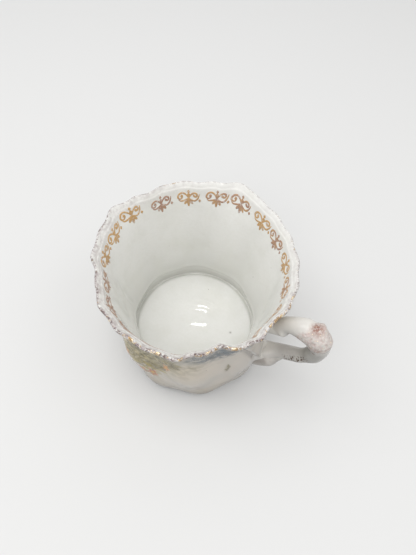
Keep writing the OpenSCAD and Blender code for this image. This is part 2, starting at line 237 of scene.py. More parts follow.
def row_points(rows, phi, out=0.0):
    """Points of rows at angles, moved outwards by a distance."""
    r = row_radius(rows, phi) + out
    z = rows[..., 1] + rows[..., 4] * eased(LIP_WAVES, phi)
    return np.stack([r * cos_deg(phi), r * sin_deg(phi), z], -1)


def along(points, t):
    """Points on a smooth line through points, with t counted in points."""
    points = np.asarray(points, float)
    t = np.asarray(t, float)
    last = len(points) - 1
    k = np.minimum(np.floor(t).astype(int), last - 1)
    u = (t - k)[..., None]
    b = points[k]
    c = points[k + 1]
    a = np.where((k == 0)[..., None], 2 * b - c, points[np.maximum(k - 1, 0)])
    d = np.where((k + 2 > last)[..., None], 2 * c - b, points[np.minimum(k + 2, last)])
    return (2 * b + (c - a) * u + (2 * a - 5 * b + 4 * c - d) * u**2 + (3 * b - a - 3 * c + d) * u**3) / 2


def ring_faces(rows, around, looped=False):
    """Quads between the rings of a grid of points, and from the last ring to the first where it is looped."""
    first = np.arange(rows if looped else rows - 1)
    row, col = np.meshgrid(first, np.arange(around), indexing="ij")
    below = (row + 1) % rows
    beside = (col + 1) % around
    corners = [row * around + col, below * around + col, below * around + beside, row * around + beside]
    return np.stack(corners, -1).reshape(-1, 4).tolist()


def pole_faces(pole, start, around, turned=False):
    """Triangles from a pole to a ring of points."""
    fans = []
    for i in range(around):
        j = (i + 1) % around
        fans.append((pole, start + j, start + i) if turned else (pole, start + i, start + j))
    return fans


def capped(grid, poles):
    """Points and faces of a grid of rings that a pole closes at each end."""
    rows, around = grid.shape[:2]
    total = rows * around
    faces = ring_faces(rows, around) + pole_faces(total, 0, around)
    faces += pole_faces(total + 1, total - around, around, True)
    return np.concatenate([grid.reshape(-1, 3), poles]), faces


def placed(name, data):
    """A new object in the scene."""
    thing = bpy.data.objects.new(name, data)
    scene.collection.objects.link(thing)
    return thing


def make_piece(name, points, faces, material, slot, node, fields=None):
    """A smooth mesh object from points in millimetres, which stands for a CAD node."""
    mesh = bpy.data.meshes.new(name)
    mesh.from_pydata((points.reshape(-1, 3) * MM).tolist(), [], faces)
    shell = bmesh.new()
    shell.from_mesh(mesh)
    bmesh.ops.recalc_face_normals(shell, faces=shell.faces)
    shell.to_mesh(mesh)
    shell.free()
    mesh.shade_smooth()
    for field, values in (fields or {}).items():
        coloured = values.ndim == 2
        layer = mesh.attributes.new(field, "FLOAT_COLOR" if coloured else "FLOAT", "POINT")
        layer.data.foreach_set("color" if coloured else "value", values.astype(np.float32).ravel())
    mesh.materials.append(material)
    piece = placed(name, mesh)
    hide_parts(node)
    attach(piece, "root")


class Nodes:
    """Nodes of a tree: each call adds some and returns the output that they are used for."""

    def __init__(self, tree):
        self.tree = tree

    def field(self, name, output="Fac"):
        """A field of the mesh."""
        node = self.tree.nodes.new("ShaderNodeAttribute")
        node.attribute_name = name
        return node.outputs[output]

    def put(self, socket, value):
        """Links an output or a field's name to a socket, or sets the socket's own value."""
        if isinstance(value, str):
            value = self.field(value)
        if isinstance(value, bpy.types.NodeSocket):
            self.tree.links.new(value, socket)
        else:
            socket.default_value = value

    def add(self, kind, inputs):
        node = self.tree.nodes.new(kind)
        for name, value in inputs.items():
            self.put(node.inputs[name], value)
        return node

    def sum(self, kind, first, others):
        """A value joined with others, one after the other."""
        for other in others:
            node = self.add("ShaderNodeMath", {0: first, 1: other})
            node.operation = kind
            first = node.outputs[0]
        return first

    def times(self, first, *others):
        return self.sum("MULTIPLY", first, others)

    def plus(self, first, *others):
        return self.sum("ADD", first, others)

    def span(self, value, low, high, to_low=0.0, to_high=1.0):
        """A smooth step of a value from low to high."""
        ends = {"From Min": low, "From Max": high, "To Min": to_low, "To Max": to_high}
        node = self.add("ShaderNodeMapRange", {"Value": value, **ends})
        node.interpolation_type = "SMOOTHSTEP"
        return node.outputs["Result"]

    def seen(self):
        """1 for what is seen straight, in a mirror or through glass, and 0 for light on the scene."""
        light = self.tree.nodes.new("ShaderNodeLightPath").outputs
        others = (light["Is Glossy Ray"], light["Is Transmission Ray"])
        return self.sum("MAXIMUM", light["Is Camera Ray"], others)


class Paint(Nodes):
    """A material and its nodes."""

    def __init__(self, name):
        self.material = bpy.data.materials.new(name)
        self.material.use_nodes = True
        super().__init__(self.material.node_tree)
        self.shader = self.tree.nodes["Principled BSDF"]
        self.place = self.tree.nodes.new("ShaderNodeTexCoord").outputs["Object"]

    def shade(self, colour, rough, **others):
        """Fills the shader's inputs and returns the material."""
        for name, value in {"Base Color": colour, "Roughness": rough, **others}.items():
            self.put(self.shader.inputs[name], value)
        return self.material

    def clouds(self, scale, detail=3.0, rough=0.5, twist=0.0):
        sizes = {"Scale": scale, "Detail": detail, "Roughness": rough, "Distortion": twist}
        return self.add("ShaderNodeTexNoise", {"Vector": self.place, **sizes}).outputs[0]

    def mottle(self, scale, low, high, to_low=0.0, to_high=1.0, **grain):
        """Clouds as a smooth step from low to high."""
        return self.span(self.clouds(scale, **grain), low, high, to_low, to_high)

    def cells(self, scale):
        return self.add("ShaderNodeTexVoronoi", {"Vector": self.place, "Scale": scale}).outputs["Distance"]

    def mix(self, share, first, second):
        node = self.tree.nodes.new("ShaderNodeMix")
        node.data_type = "RGBA"
        self.put(node.inputs["Factor"], share)
        colours = [s for s in node.inputs if s.type == "RGBA"]
        for socket, value in zip(colours, (first, second)):
            self.put(socket, value if isinstance(value, bpy.types.NodeSocket) else (*value, 1.0))
        return [s for s in node.outputs if s.type == "RGBA"][0]

    def coats(self, colour, *layers):
        """A colour with layers over it, each a tint and the factors of the share that it hides."""
        for tint, *factors in layers:
            colour = self.mix(self.times(*factors), colour, tint)
        return colour

    def bump(self, height, distance, normal=None):
        node = self.add("ShaderNodeBump", {"Height": height, "Distance": distance})
        if normal is not None:
            self.put(node.inputs["Normal"], normal)
        return node.outputs["Normal"]


# Colours, linear: the glaze by its place, with painted shade among it, then dirt and painted shade, stains,
# gilding, bark, the bare foot and the floor
GLAZE_IN = (0.80, 0.80, 0.775)
# Painted shade: darker glaze low inside the cup, where less light reaches
GLAZE_DEEP_SHADE = (0.68, 0.68, 0.65)
# Greyer glaze on the band under the lip inside and under the worn gilding: wear, and painted shade on this
# upward-facing band
GLAZE_LIP_WEAR_AND_SHADE = (0.72, 0.715, 0.69)
GLAZE_OUT = (0.78, 0.7, 0.605)
# Painted shade: darker glaze towards the foot outside, where little light comes from below
GLAZE_FOOT_SHADE = (0.42, 0.375, 0.32)
GLAZE_HANDLE = (0.65, 0.63, 0.59)
# Painted shade on the handle: the crown of the upper arm, the lower arm under the upper arm and knob, and under
# the knob's bend
CROWN_SHADE = (0.57, 0.55, 0.52)
LOWER_ARM_SHADE = (0.5, 0.475, 0.45)
BEND_SHADE = (0.36, 0.345, 0.32)
GLAZE_FAN = (0.67, 0.64, 0.6)
GLAZE_LEAF = (0.53, 0.5, 0.465)
GLAZE_SHADE = (0.66, 0.66, 0.6)
# Dirt and painted shade in the groove round the floor
GROOVE_DIRT_AND_SHADE = (0.42, 0.42, 0.36)
# Dirt and painted shade along the creases of the fan and the leaf
CREASE_DIRT_AND_SHADE = (0.2, 0.17, 0.15)
SPECK = (0.12, 0.1, 0.07)
MAUVE = (0.36, 0.3, 0.3)
STAIN = (0.1, 0.055, 0.05)
GOLD = (0.86, 0.74, 0.54)
GOLD_DEEP = (0.42, 0.28, 0.15)
STENCIL_GOLD = (0.6, 0.38, 0.18)
STENCIL_BROWN = (0.38, 0.23, 0.165)
BARK_PINK = (0.54, 0.42, 0.4)
BARK_RED = (0.22, 0.09, 0.06)
PIT_BROWN = (0.09, 0.055, 0.03)
BARE_DARK = (0.62, 0.57, 0.48)
BARE_PALE = (0.76, 0.72, 0.64)
GRIME = (0.3, 0.25, 0.19)
FLOOR_DARK = (0.04, 0.04, 0.04)
FLOOR_PALE = (0.64, 0.64, 0.635)
GLAZE_IOR = 1.36
# Heights of the fine relief of the surfaces, in metres
RIPPLE = 0.000007
SCUFF = 0.0002
BARE_GRAIN = 0.00008


def glaze(paint, base):
    """Finish shared by the glazed pieces: clouds of tone, tiny specks, faint ripples and a glossy coat."""
    specks = paint.span(paint.cells(260), 0.07, 0.045)
    colour = paint.coats(
        base,
        (GLAZE_SHADE, paint.mottle(90, 0.4, 0.75, 0.0, 0.35)),
        (GLAZE_SHADE, paint.mottle(900, 0.35, 0.7, 0.0, 0.12, detail=2)),
        (SPECK, specks, paint.mottle(120, 0.62, 0.68, detail=1), 0.6),
    )
    return colour, paint.bump(paint.clouds(110, 2), RIPPLE), paint.mottle(400, 0.3, 0.8, 0.012, 0.035)


def bowl_paint():
    paint = Paint("glazed_porcelain")
    # Outside: paler glaze about the joint, and painted shade towards the foot
    outside = paint.coats(GLAZE_OUT, (GLAZE_FAN, "joint"), (GLAZE_FOOT_SHADE, "low"))
    # Inside: greyer band under the lip, wear and painted shade, and painted shade deep in the cup
    lining = paint.coats(GLAZE_IN, (GLAZE_LIP_WEAR_AND_SHADE, paint.span("below_lip", 6.5, 3.6)), (GLAZE_DEEP_SHADE, "deep"))
    colour, ripple, rough = glaze(paint, paint.mix("inside", outside, lining))
    cover = paint.times("print_cover", paint.mottle(1500, 0.25, 0.6, 0.85, 1.0, rough=0.6))
    grain = paint.mottle(700, 0.35, 0.68, detail=4, rough=0.65, twist=0.6)
    spots = paint.mottle(1100, 0.56, 0.66, detail=4, rough=0.7, twist=1.0)
    colour = paint.coats(
        colour,
        (paint.field("print_tint", "Color"), cover),
        # Dirt and painted shade along the fan's crease
        (CREASE_DIRT_AND_SHADE, "crease", 0.5),
        (MAUVE, paint.span("below_lip", 4.2, 0.6), "stain", grain, 0.65),
        (STAIN, paint.span("below_lip", 2.4, 0.4), "stain", spots, 0.5),
        # Dirt and painted shade in the groove round the floor
        (GROOVE_DIRT_AND_SHADE, "groove", 0.4),
        (SPECK, "speck", 0.75),
    )
    rough = paint.plus(rough, paint.times(cover, 0.3), paint.span("below_lip", 6.0, 3.0, 0.0, 0.2))
    return paint.shade(colour, rough, Normal=ripple, IOR=GLAZE_IOR)


def handle_paint():
    paint = Paint("glazed_porcelain_handle")
    # Painted shade on the lower arm, the crown and under the knob's bend, and a paler glaze at the root
    tones = ((LOWER_ARM_SHADE, "low"), (CROWN_SHADE, "crown"), (BEND_SHADE, "bend"), (GLAZE_FAN, "root"))
    colour, ripple, rough = glaze(paint, paint.coats(GLAZE_HANDLE, *tones))
    grain = paint.clouds(1100, 4, 0.65, 0.8)
    patches = paint.times(paint.mottle(210, 0.54, 0.64, detail=2), paint.mottle(1300, 0.45, 0.6, rough=0.6))
    flecks = paint.times("flecks", paint.mottle(1300, 0.68, 0.72, detail=2))
    colour = paint.coats(
        colour,
        (BARK_PINK, "bark", paint.span(grain, 0.4, 0.65, 0.1, 0.7)),
        (BARK_RED, "bark", patches, 0.35),
        (BARK_RED, "bark", "hollow", 0.2),
        (PIT_BROWN, "pits"),
        (BARK_RED, "red", paint.mottle(1300, 0.36, 0.56, 0.15, 1.0, detail=4, rough=0.7, twist=0.8)),
        (GOLD, flecks),
    )
    bumped = paint.bump(paint.times("bark", grain), SCUFF, ripple)
    rough = paint.plus(rough, paint.times("bark", 0.45))
    return paint.shade(colour, rough, Normal=bumped, Metallic=flecks, IOR=GLAZE_IOR)


def leaf_paint():
    paint = Paint("glazed_porcelain_leaf")
    colour, ripple, rough = glaze(paint, GLAZE_LEAF)
    veins = (MAUVE, "veins", paint.mottle(900, 0.35, 0.6), 0.5)
    # Dirt and painted shade along the crease beside the leaf's root
    colour = paint.coats(colour, veins, (CREASE_DIRT_AND_SHADE, "crease", 0.5))
    return paint.shade(colour, rough, Normal=ripple, IOR=GLAZE_IOR)


def gilt_paint():
    """Gold worn down to the stained glaze; the side runs from 0 inside to 1 outside."""
    paint = Paint("worn_gilding")
    crest = paint.span("side", 0.5, 0.62)
    coarse = paint.times(paint.clouds(640, 4, 0.6, 0.7), 0.75)
    fine = paint.times(paint.clouds(2200, 3, 0.6), 0.25)
    worn = paint.plus(coarse, fine, paint.times("gold", 0.3))
    gold = paint.times(crest, paint.span(worn, 0.7, 0.76))
    # Greyer glaze under the worn gilding: wear and painted shade
    bare, ripple, glossy = glaze(paint, GLAZE_LIP_WEAR_AND_SHADE)
    mauve = paint.mottle(600, 0.4, 0.64, 0.1, 0.85, detail=4, rough=0.6)
    strokes = paint.mottle(850, 0.45, 0.58, detail=4, rough=0.7, twist=1.2)
    spots = paint.times(crest, paint.plus(paint.times("stain", 0.6), 0.35))
    line = paint.times(paint.span("side", 0.2, 0.1), paint.span("stain", 0.55, 1.0, 0.0, 0.8))
    colour = paint.coats(
        bare,
        (MAUVE, "stain", mauve, paint.span("side", 0.0, 0.5, 0.15, 1.0)),
        (STAIN, strokes, paint.plus(spots, line)),
        (paint.mix(paint.mottle(1000, 0.36, 0.58, rough=0.6), GOLD, GOLD_DEEP), gold),
    )
    dull = paint.times(crest, paint.mottle(800, 0.3, 0.7, 0.1, 0.27))
    rough = paint.plus(glossy, paint.span("side", 0.6, 0.3, 0.0, 0.2), dull)
    scuffs = paint.bump(paint.times(crest, paint.clouds(900)), SCUFF, ripple)
    return paint.shade(colour, rough, Metallic=gold, Normal=scuffs)


def stencil_paint():
    paint = Paint("stencil_gilding")
    tone = paint.plus("tone", paint.mottle(450, 0.3, 0.7, -0.3, 0.3))
    colour = paint.mix(paint.span(tone, 0.1, 0.9), STENCIL_GOLD, STENCIL_BROWN)
    colour = paint.coats(colour, (GLAZE_IN, paint.mottle(900, 0.52, 0.68, 0.0, 0.45, rough=0.6)))
    rough = paint.mottle(1200, 0.3, 0.7, 0.28, 0.5, detail=2)
    return paint.shade(colour, rough, Metallic=paint.span(tone, 0.1, 0.8, 0.45, 0.1))


def foot_paint():
    paint = Paint("bare_porcelain")
    grain = paint.clouds(2600, 4, 0.6)
    colour = paint.mix(paint.span(grain, 0.3, 0.7), BARE_DARK, BARE_PALE)
    colour = paint.coats(colour, (GRIME, paint.mottle(170, 0.45, 0.65), 0.5))
    return paint.shade(colour, 0.75, Normal=paint.bump(grain, BARE_GRAIN))


def stage_paint():
    """Pale floor that keeps the shadow and throws only a little light back at the object."""
    paint = Paint("pale_floor")
    return paint.shade(paint.mix(paint.seen(), FLOOR_DARK, FLOOR_PALE), 0.9)


# Print on the outside: colours, linear
SAGE = (0.14, 0.115, 0.012)
OLIVE = (0.045, 0.034, 0.004)
SPRING = (0.42, 0.33, 0.05)
UMBER = (0.05, 0.03, 0.012)
CREAM = (0.8, 0.72, 0.5)
RUST = (0.5, 0.09, 0.01)
CORAL = (0.72, 0.27, 0.1)
YOLK = (0.75, 0.5, 0.12)
SMOKE_BLUE = (0.1, 0.15, 0.2)
SLATE_BLUE = (0.045, 0.07, 0.095)
PRINT_R = 29.5
# Petals of a blossom, marks of their pale edge in shares of its radius, and how much taller than wide it is
BLOSSOM_PETALS = 5
PETAL_EDGE = (0.55, 0.8, 0.85, 1.0)
BLOSSOM_TALL = 2.4


class Print:
    """Print over the outside of the bowl, in millimetres up and along the wall from an angle it is turned to."""

    def __init__(self, phi, z):
        self.phi = phi
        self.z = z
        self.tint = np.zeros((*phi.shape, 3))
        self.cover = np.zeros(phi.shape)

    def turn_to(self, middle):
        self.middle = middle
        self.x = np.radians(wrapped(self.phi - middle)) * PRINT_R

    def lay(self, colour, cover):
        """Lays a colour over what is there, where cover is the share that it hides."""
        total = cover + self.cover * (1 - cover)
        share = np.divide(cover, total, out=np.zeros_like(cover), where=total > 0)[..., None]
        self.tint = self.tint * (1 - share) + np.asarray(colour) * share
        self.cover = total

    def leaf(self, base, turn, length, width, colour, strength=0.9):
        """A pointed leaf from a base, with a darker half and a pale rib."""
        x = self.x - base[0]
        y = self.z - base[1]
        u = (x * cos_deg(turn) + y * sin_deg(turn)) / length
        v = (y * cos_deg(turn) - x * sin_deg(turn)) / (width / 2)
        bulge = np.sin(np.pi * np.clip(u, 0, 1) ** 0.8)
        inside = smooth(1.0, 0.55, np.abs(v) / np.maximum(bulge, 0.02)) * (u > 0) * (u < 1)
        self.lay(colour, strength * inside)
        self.lay(OLIVE, 0.45 * strength * inside * (v < 0))
        self.lay(SPRING, 0.5 * strength * inside * smooth(0.3, 0.05, np.abs(v)))

    def blossom(self, centre, radius, turn, colour):
        """A small open blossom with a pale edge to its petals and a yolk-yellow middle."""
        x = self.x - centre[0]
        y = (self.z - centre[1]) / BLOSSOM_TALL
        distance = np.hypot(x, y)
        edge = radius * (0.72 + 0.28 * np.cos(BLOSSOM_PETALS * (np.arctan2(y, x) - math.radians(turn))))
        self.lay(colour, 0.92 * smooth(1.0, 0.72, distance / edge))
        self.lay(CREAM, 0.4 * window(PETAL_EDGE, distance / edge))
        self.lay(YOLK, 0.9 * smooth(0.34, 0.2, distance / radius))

    def stem(self, points, width, colour, strength):
        """A line through points."""
        steps = along(points, np.linspace(0, len(points) - 1, 8 * len(points)))
        near = np.full(self.x.shape, np.inf)
        for a, b in zip(steps[:-1], steps[1:]):
            way = b - a
            x = self.x - a[0]
            y = self.z - a[1]
            share = np.clip((x * way[0] + y * way[1]) / (way @ way), 0, 1)
            near = np.minimum(near, np.hypot(x - share * way[0], y - share * way[1]))
        self.lay(colour, strength * smooth(width, width * 0.4, near))

    def wash(self, centre, size, colour, strength, blot=None, steep=1.0):
        """A soft cloud of colour, in blots of a size where one is given; steep makes its middle more even."""
        x = (self.x - centre[0]) / size[0]
        y = (self.z - centre[1]) / size[1]
        cover = strength * np.exp(-2 * (x * x + y * y) ** steep)
        if blot is not None:
            here = np.stack([self.x, self.z, np.full(x.shape, 10 * blot + self.middle)], -1)
            near = cover > 0.02
            cover[near] *= smooth(-0.2, 0.25, rough_field(here[near], blot, 3))
        self.lay(colour, cover)


# Washes of a spray, below its leaves and over them: place, half sizes, colour, strength and size of blots
WASHES_BELOW = [
    (-3, 37, 19, 16, SPRING, 0.75, None),
    (-2, 37, 18, 14, SAGE, 1.0, 3.4),
    (6, 38, 18, 5, SAGE, 0.7, 4.0),
]
WASHES_OVER = [
    (-3, 41, 17, 11, OLIVE, 0.95, 2.2),
    (-6, 44, 14, 9, UMBER, 0.9, 1.7),
    (-4, 20, 13, 11, SPRING, 0.85, 2.6),
    (0, 36, 15, 12, CREAM, 0.45, 1.4),
]
# Stems of a spray: points along the wall and up
STEMS = np.array([
    [(0, 20), (-4, 26), (-9, 31), (-14, 33)],
    [(0, 20), (1, 28), (-1, 36), (-5, 43)],
    [(0, 20), (3, 27), (6, 34), (10, 39)],
])
# Blossoms of a spray: place along the wall and height, radius and colour
HEADS = [(-4.2, 16, 2.7, RUST), (0, 17.5, 2.7, RUST), (6.5, 31, 1.6, CORAL), (-9.5, 27, 1.7, RUST)]


def lay_washes(flora, size, washes):
    for x, z, width, height, colour, strength, blot in washes:
        flora.wash((x * size, z), (width * size, height * size), colour, strength, blot)


def spray(flora, size, seed):
    """A plain spray: three arching stems with leaves on washes of green, and a few blossoms below them."""
    draw = np.random.default_rng(seed)
    lay_washes(flora, size, WASHES_BELOW)
    greens = (SAGE, SPRING, OLIVE)
    for stem in STEMS:
        line = (stem - stem[0]) * size + stem[0]
        flora.stem(line, 0.45, OLIVE, 0.6)
        for t in np.linspace(0.5, 3, 9):
            base = along(line, t)
            ahead = along(line, min(t + 0.05, 3)) - along(line, max(t - 0.05, 0))
            way = math.degrees(math.atan2(ahead[1], ahead[0]))
            for side in (-1, 1):
                turn = way + side * draw.uniform(25, 65)
                length = size * draw.uniform(4, 6.5) * (1.15 - t / 6)
                colour = greens[draw.integers(3)]
                flora.leaf(base, turn, length, length * draw.uniform(0.36, 0.5), colour, 0.6)
    lay_washes(flora, size, WASHES_OVER)
    for x, z, radius, colour in HEADS:
        flora.leaf((x * size, z), draw.uniform(190, 350), 5 * size, 2.2 * size, SAGE)
        flora.blossom((x * size, z), radius * size, draw.uniform(0, 72), colour)


# Hollows of the lip with their blue wash: angle, and strength
HOLLOWS = [(317, 1.0), (226, 0.6), (157, 0.5), (60, 0.5)]
# Sprays: angle, size and seed; sprigs: angle and height; leaves of a sprig: height on it, and turn
SPRAYS = [(272, 1.0, 4), (118, 0.8, 9)]
SPRIGS = [(327, 25), (196, 24), (62, 25)]
SPRIG_LEAVES = [(0.5, 115), (2, 72), (4, 92)]


def lay_print(phi, z):
    """Flower sprays on the front and the back, sprigs, and a smoky blue wash in the hollows of the lip."""
    flora = Print(phi, z)
    for middle, strength in HOLLOWS:
        flora.turn_to(middle)
        flora.wash((0, 48.5), (14, 7.5), SMOKE_BLUE, 0.45 * strength, steep=1.5)
        flora.wash((0, 48.5), (13, 8), SMOKE_BLUE, strength, 3.2, steep=2.0)
        flora.wash((1, 46.5), (12, 7), SLATE_BLUE, 0.9 * strength, 1.8, steep=2.0)
    for middle, size, seed in SPRAYS:
        flora.turn_to(middle)
        spray(flora, size, seed)
    for middle, z_low in SPRIGS:
        flora.turn_to(middle)
        flora.wash((0, z_low + 3), (1.3, 4.5), SAGE, 0.5)
        flora.stem([(0, z_low), (0.5, z_low + 3), (0.2, z_low + 6)], 0.5, OLIVE, 0.4)
        for height, turn in SPRIG_LEAVES:
            flora.leaf((0.2, z_low + height), turn, 3.0, 1.1, SAGE, 0.4)
    return flora


AROUND = SCALLOPS * 20
PHI = np.arange(AROUND) * 360 / AROUND
# Faint turning marks on the floor: centre, radii, half width, slope of a mark for its radius, length of its
# far side, axis that they are long on, squeeze across it, and the angle that they lie about and its half width
MARK_CENTRE = (1.8, 0.5)
MARK_RADII = (6.8, 8.6, 11.3)
MARK_HALF = 0.26
MARK_SLOPE = 0.00375
MARK_FALL = 1.2
MARK_AXIS = 122.0
MARK_SQUEEZE = 1.19
MARK_TURN = 112.0
MARK_REACH = 38.0
# Dark speck in the glaze of the floor: its place and radius
FLOOR_SPECK = (14.6, 4.7)
FLOOR_SPECK_R = 0.38
# Dirt and painted shade in the groove: its half width, and how far it goes up the wall
GROOVE_DIRT_AND_SHADE_W = 0.8
GROOVE_DIRT_AND_SHADE_H = 0.8
# Fold in the wall inside: angle, half width in degrees and depth, and the heights where it comes and goes
FOLD = (208.0, 2.2, 0.35)
FOLD_Z = (15.0, 21.0, 28.0, 42.0)
# Heights over which the painted shade deep inside comes and goes, and over which the painted shade at the foot
# and the print come
DEEP_SHADE_Z = (FLOOR_Z, FLOOR_Z + 1.5, 15.0, 34.0)
FOOT_SHADE_Z = (14.0, 2.0)
PRINT_FOOT = (4.0, 7.0)
# Rows of the floor: first and last radius, and number, finest where the turning marks are
FLOOR_ROWS = [(0, 5, 16), (5, 13, 70), (13, FLOOR_R - GROOVE_W, 26)]
# Point through which the foot bends under, radius of the recess below it and of its last ring
FOOT_BEND_R = FOOT_R - 0.3
FOOT_BEND_Z = 1.9
RECESS_R = 20.2
LAST_R = 1.0
# Where the wall inside begins to bend into the lip
BEND_Z = 52.6
# Spans of the line over the lip, steps in each of them, and the spans before its crest
LIP_SPANS = 6
LIP_STEPS = 5
CREST_SPANS = 4


def lip_line():
    """Rows over the lip from the inside to the outside."""
    start = inside_rows(np.array([BEND_Z, ROLL_Z]))
    radii = np.array([LIP_IN, LIP_R - LIP_T / 2, LIP_R])
    lip = rows_of(radii, np.array([LIP_SIDE_Z, CUP_H, LIP_SIDE_Z]), 1, 1, 1)
    half_way = (start[1:] + lip[:1]) / 2
    knots = np.concatenate([start, half_way, lip, outside_rows(np.array([BAND_Z]))])
    return along(knots, np.linspace(0, LIP_SPANS, LIP_SPANS * LIP_STEPS + 1))


def bowl_rows():
    """Rows from the floor up the inside, over the lip, down the outside and under the foot."""
    radii = np.concatenate([np.linspace(low, high, number)[1:] for low, high, number in FLOOR_ROWS])
    groove = np.linspace(0, 1, 10)[1:-1]
    dip = GROOVE_D * (1 - np.cos(2 * np.pi * groove)) / 2
    lip = lip_line()
    crest = CREST_SPANS * LIP_STEPS
    base_r = FOOT_R - FOOT_EDGE
    recess_r = RING_R - RING_W - FOOT_EDGE / 2
    foot_knots = np.concatenate([
        outside_rows(np.array([FOOT_Z])),
        rows_of(np.array([FOOT_BEND_R, base_r]), np.array([FOOT_BEND_Z, RING_H]), foot=1.0),
    ])
    inside = [
        rows_of(radii, FLOOR_Z),
        rows_of(FLOOR_R - GROOVE_W * (1 - groove), FLOOR_Z - dip),
        inside_rows(np.linspace(FLOOR_Z, COVE_Z, 20)),
        inside_rows(np.linspace(COVE_Z, BEND_Z, 90)[1:-1]),
        lip[: crest + 1],
    ]
    outside = [
        lip[crest + 1 :],
        outside_rows(np.linspace(BAND_Z, WAIST_Z, 112)[1:]),
        outside_rows(np.linspace(WAIST_Z, FOOT_Z, 18)[1:-1]),
        along(foot_knots, np.linspace(0, 2, 8)),
        rows_of(np.linspace(base_r, recess_r, 8)[1:], RING_H),
        rows_of(np.linspace(recess_r, RECESS_R, 6)[1:], np.linspace(RING_H, RING_H + RECESS_D, 6)[1:]),
        rows_of(np.linspace(RECESS_R, LAST_R, 16)[1:], RING_H + RECESS_D),
    ]
    return np.concatenate(inside + outside), sum(len(part) for part in inside)


# Place about the lower joint that has the handle's paler glaze: half width, middle height and half height
JOINT_W = 13.0
JOINT_Z = 28.0
JOINT_H = 16.0
# Fan that spreads up the wall on the near side of the lower joint: ends of its edge, as the distance along the
# wall from the handle's plane and the height, its height over the wall and its width
FAN_LOW = np.array([4.2, 23.5])
FAN_HIGH = np.array([11.3, 41.0])
FAN_H = 1.0
FAN_W = 5.5
# Where the fan comes and goes, in shares of its edge, and where it steps up from the wall
FAN_SPAN = (-0.35, 0.05, 0.9, 1.4)
FAN_STEP = (-0.5, 0.9)
# Crease along the fan's edge: depth, half width, and how far it lies outside the edge
CREASE_D = 0.45
CREASE_W = 1.0
CREASE_OFF = 0.6


def joint_fan(phi, z):
    """Height over the wall of the fan that spreads from the lower joint, and its crease from 0 to 1."""
    edge = FAN_HIGH - FAN_LOW
    length = np.linalg.norm(edge)
    way = edge / length
    x = -np.radians(wrapped(phi)) * NECK_R - FAN_LOW[0]
    y = z - FAN_LOW[1]
    share = (x * way[0] + y * way[1]) / length
    inward = y * way[0] - x * way[1]
    shown = window(FAN_SPAN, share)
    step = smooth(*FAN_STEP, inward) * bell(np.maximum(inward, 0), FAN_W)
    crease = shown * bell(inward + CREASE_OFF, CREASE_W)
    return shown * FAN_H * step - CREASE_D * crease, crease


def turning_marks(points):
    """Heights of the turning marks at points of the floor."""
    from_centre = points[..., :2] - np.array(MARK_CENTRE)
    angle = angle_of(from_centre)
    squeeze = cos_deg(angle - MARK_AXIS) ** 2 + MARK_SQUEEZE * sin_deg(angle - MARK_AXIS) ** 2
    reach = np.linalg.norm(from_centre, axis=-1) * np.sqrt(squeeze)
    height = np.zeros(reach.shape)
    for middle in MARK_RADII:
        climb = np.clip((reach - middle + MARK_HALF) / (2 * MARK_HALF), 0, 1)
        fall = smooth(middle + MARK_HALF + MARK_FALL, middle + MARK_HALF, reach)
        height += 2 * MARK_HALF * MARK_SLOPE * middle * climb * fall
    return height * np.exp(-(((angle - MARK_TURN) / MARK_REACH) ** 4))


def make_bowl():
    rows, inner = bowl_rows()
    points = row_points(rows[:, None, :], PHI[None, :])
    z = np.repeat(rows[:, 1:2], AROUND, 1)
    phi = np.repeat(PHI[None, :], len(rows), 0)
    is_inside = np.zeros(z.shape)
    is_inside[:inner] = 1
    angle, half, depth = FOLD
    fold = depth * bell(phi - angle, half) * window(FOLD_Z, z)
    fan, crease = joint_fan(phi, z)
    out = (fold - COVE_RIDGE * bell(z - COVE_Z, COVE_RIDGE_W)) * is_inside + fan * (1 - is_inside)
    points[..., 0] += out * cos_deg(phi)
    points[..., 1] += out * sin_deg(phi)
    r = np.hypot(points[..., 0], points[..., 1])
    points[..., 2] += turning_marks(points) * is_inside * (r < FLOOR_R - GROOVE_W)
    # Band of dirt and painted shade in the groove
    groove = bell(r - FLOOR_R + GROOVE_W / 2, GROOVE_DIRT_AND_SHADE_W) * (z < FLOOR_Z + GROOVE_DIRT_AND_SHADE_H)
    to_speck = np.hypot(points[..., 0] - FLOOR_SPECK[0], points[..., 1] - FLOOR_SPECK[1])
    from_handle = np.radians(wrapped(phi)) * NECK_R
    flora = lay_print(phi, z)
    masks = {
        "inside": is_inside,
        "below_lip": CUP_H - z,
        "groove": is_inside * groove,
        "speck": bell(to_speck, FLOOR_SPECK_R) * is_inside * (z < COVE_Z),
        "print_cover": flora.cover * (1 - is_inside) * smooth(*PRINT_FOOT, z),
        "joint": bell(from_handle, JOINT_W) * bell(z - JOINT_Z, JOINT_H),
        "crease": crease * (1 - is_inside),
        # Painted shade towards the foot
        "low": smooth(*FOOT_SHADE_Z, z),
        # Painted shade deep inside the cup
        "deep": is_inside * window(DEEP_SHADE_Z, z),
        "stain": eased(LIP_STAIN, phi),
    }
    fields = {name: np.append(mask, [mask[0, 0], mask[-1, -1]]) for name, mask in masks.items()}
    tint = np.concatenate([flora.tint, np.ones((*phi.shape, 1))], -1)
    fields["print_tint"] = np.concatenate([tint.reshape(-1, 4), np.ones((2, 4))])
    poles = np.array([[0, 0, rows[0, 1]], [0, 0, rows[-1, 1]]])
    make_piece("bowl_glazed", *capped(points, poles), bowl_paint(), "porcelain", "bowl", fields)


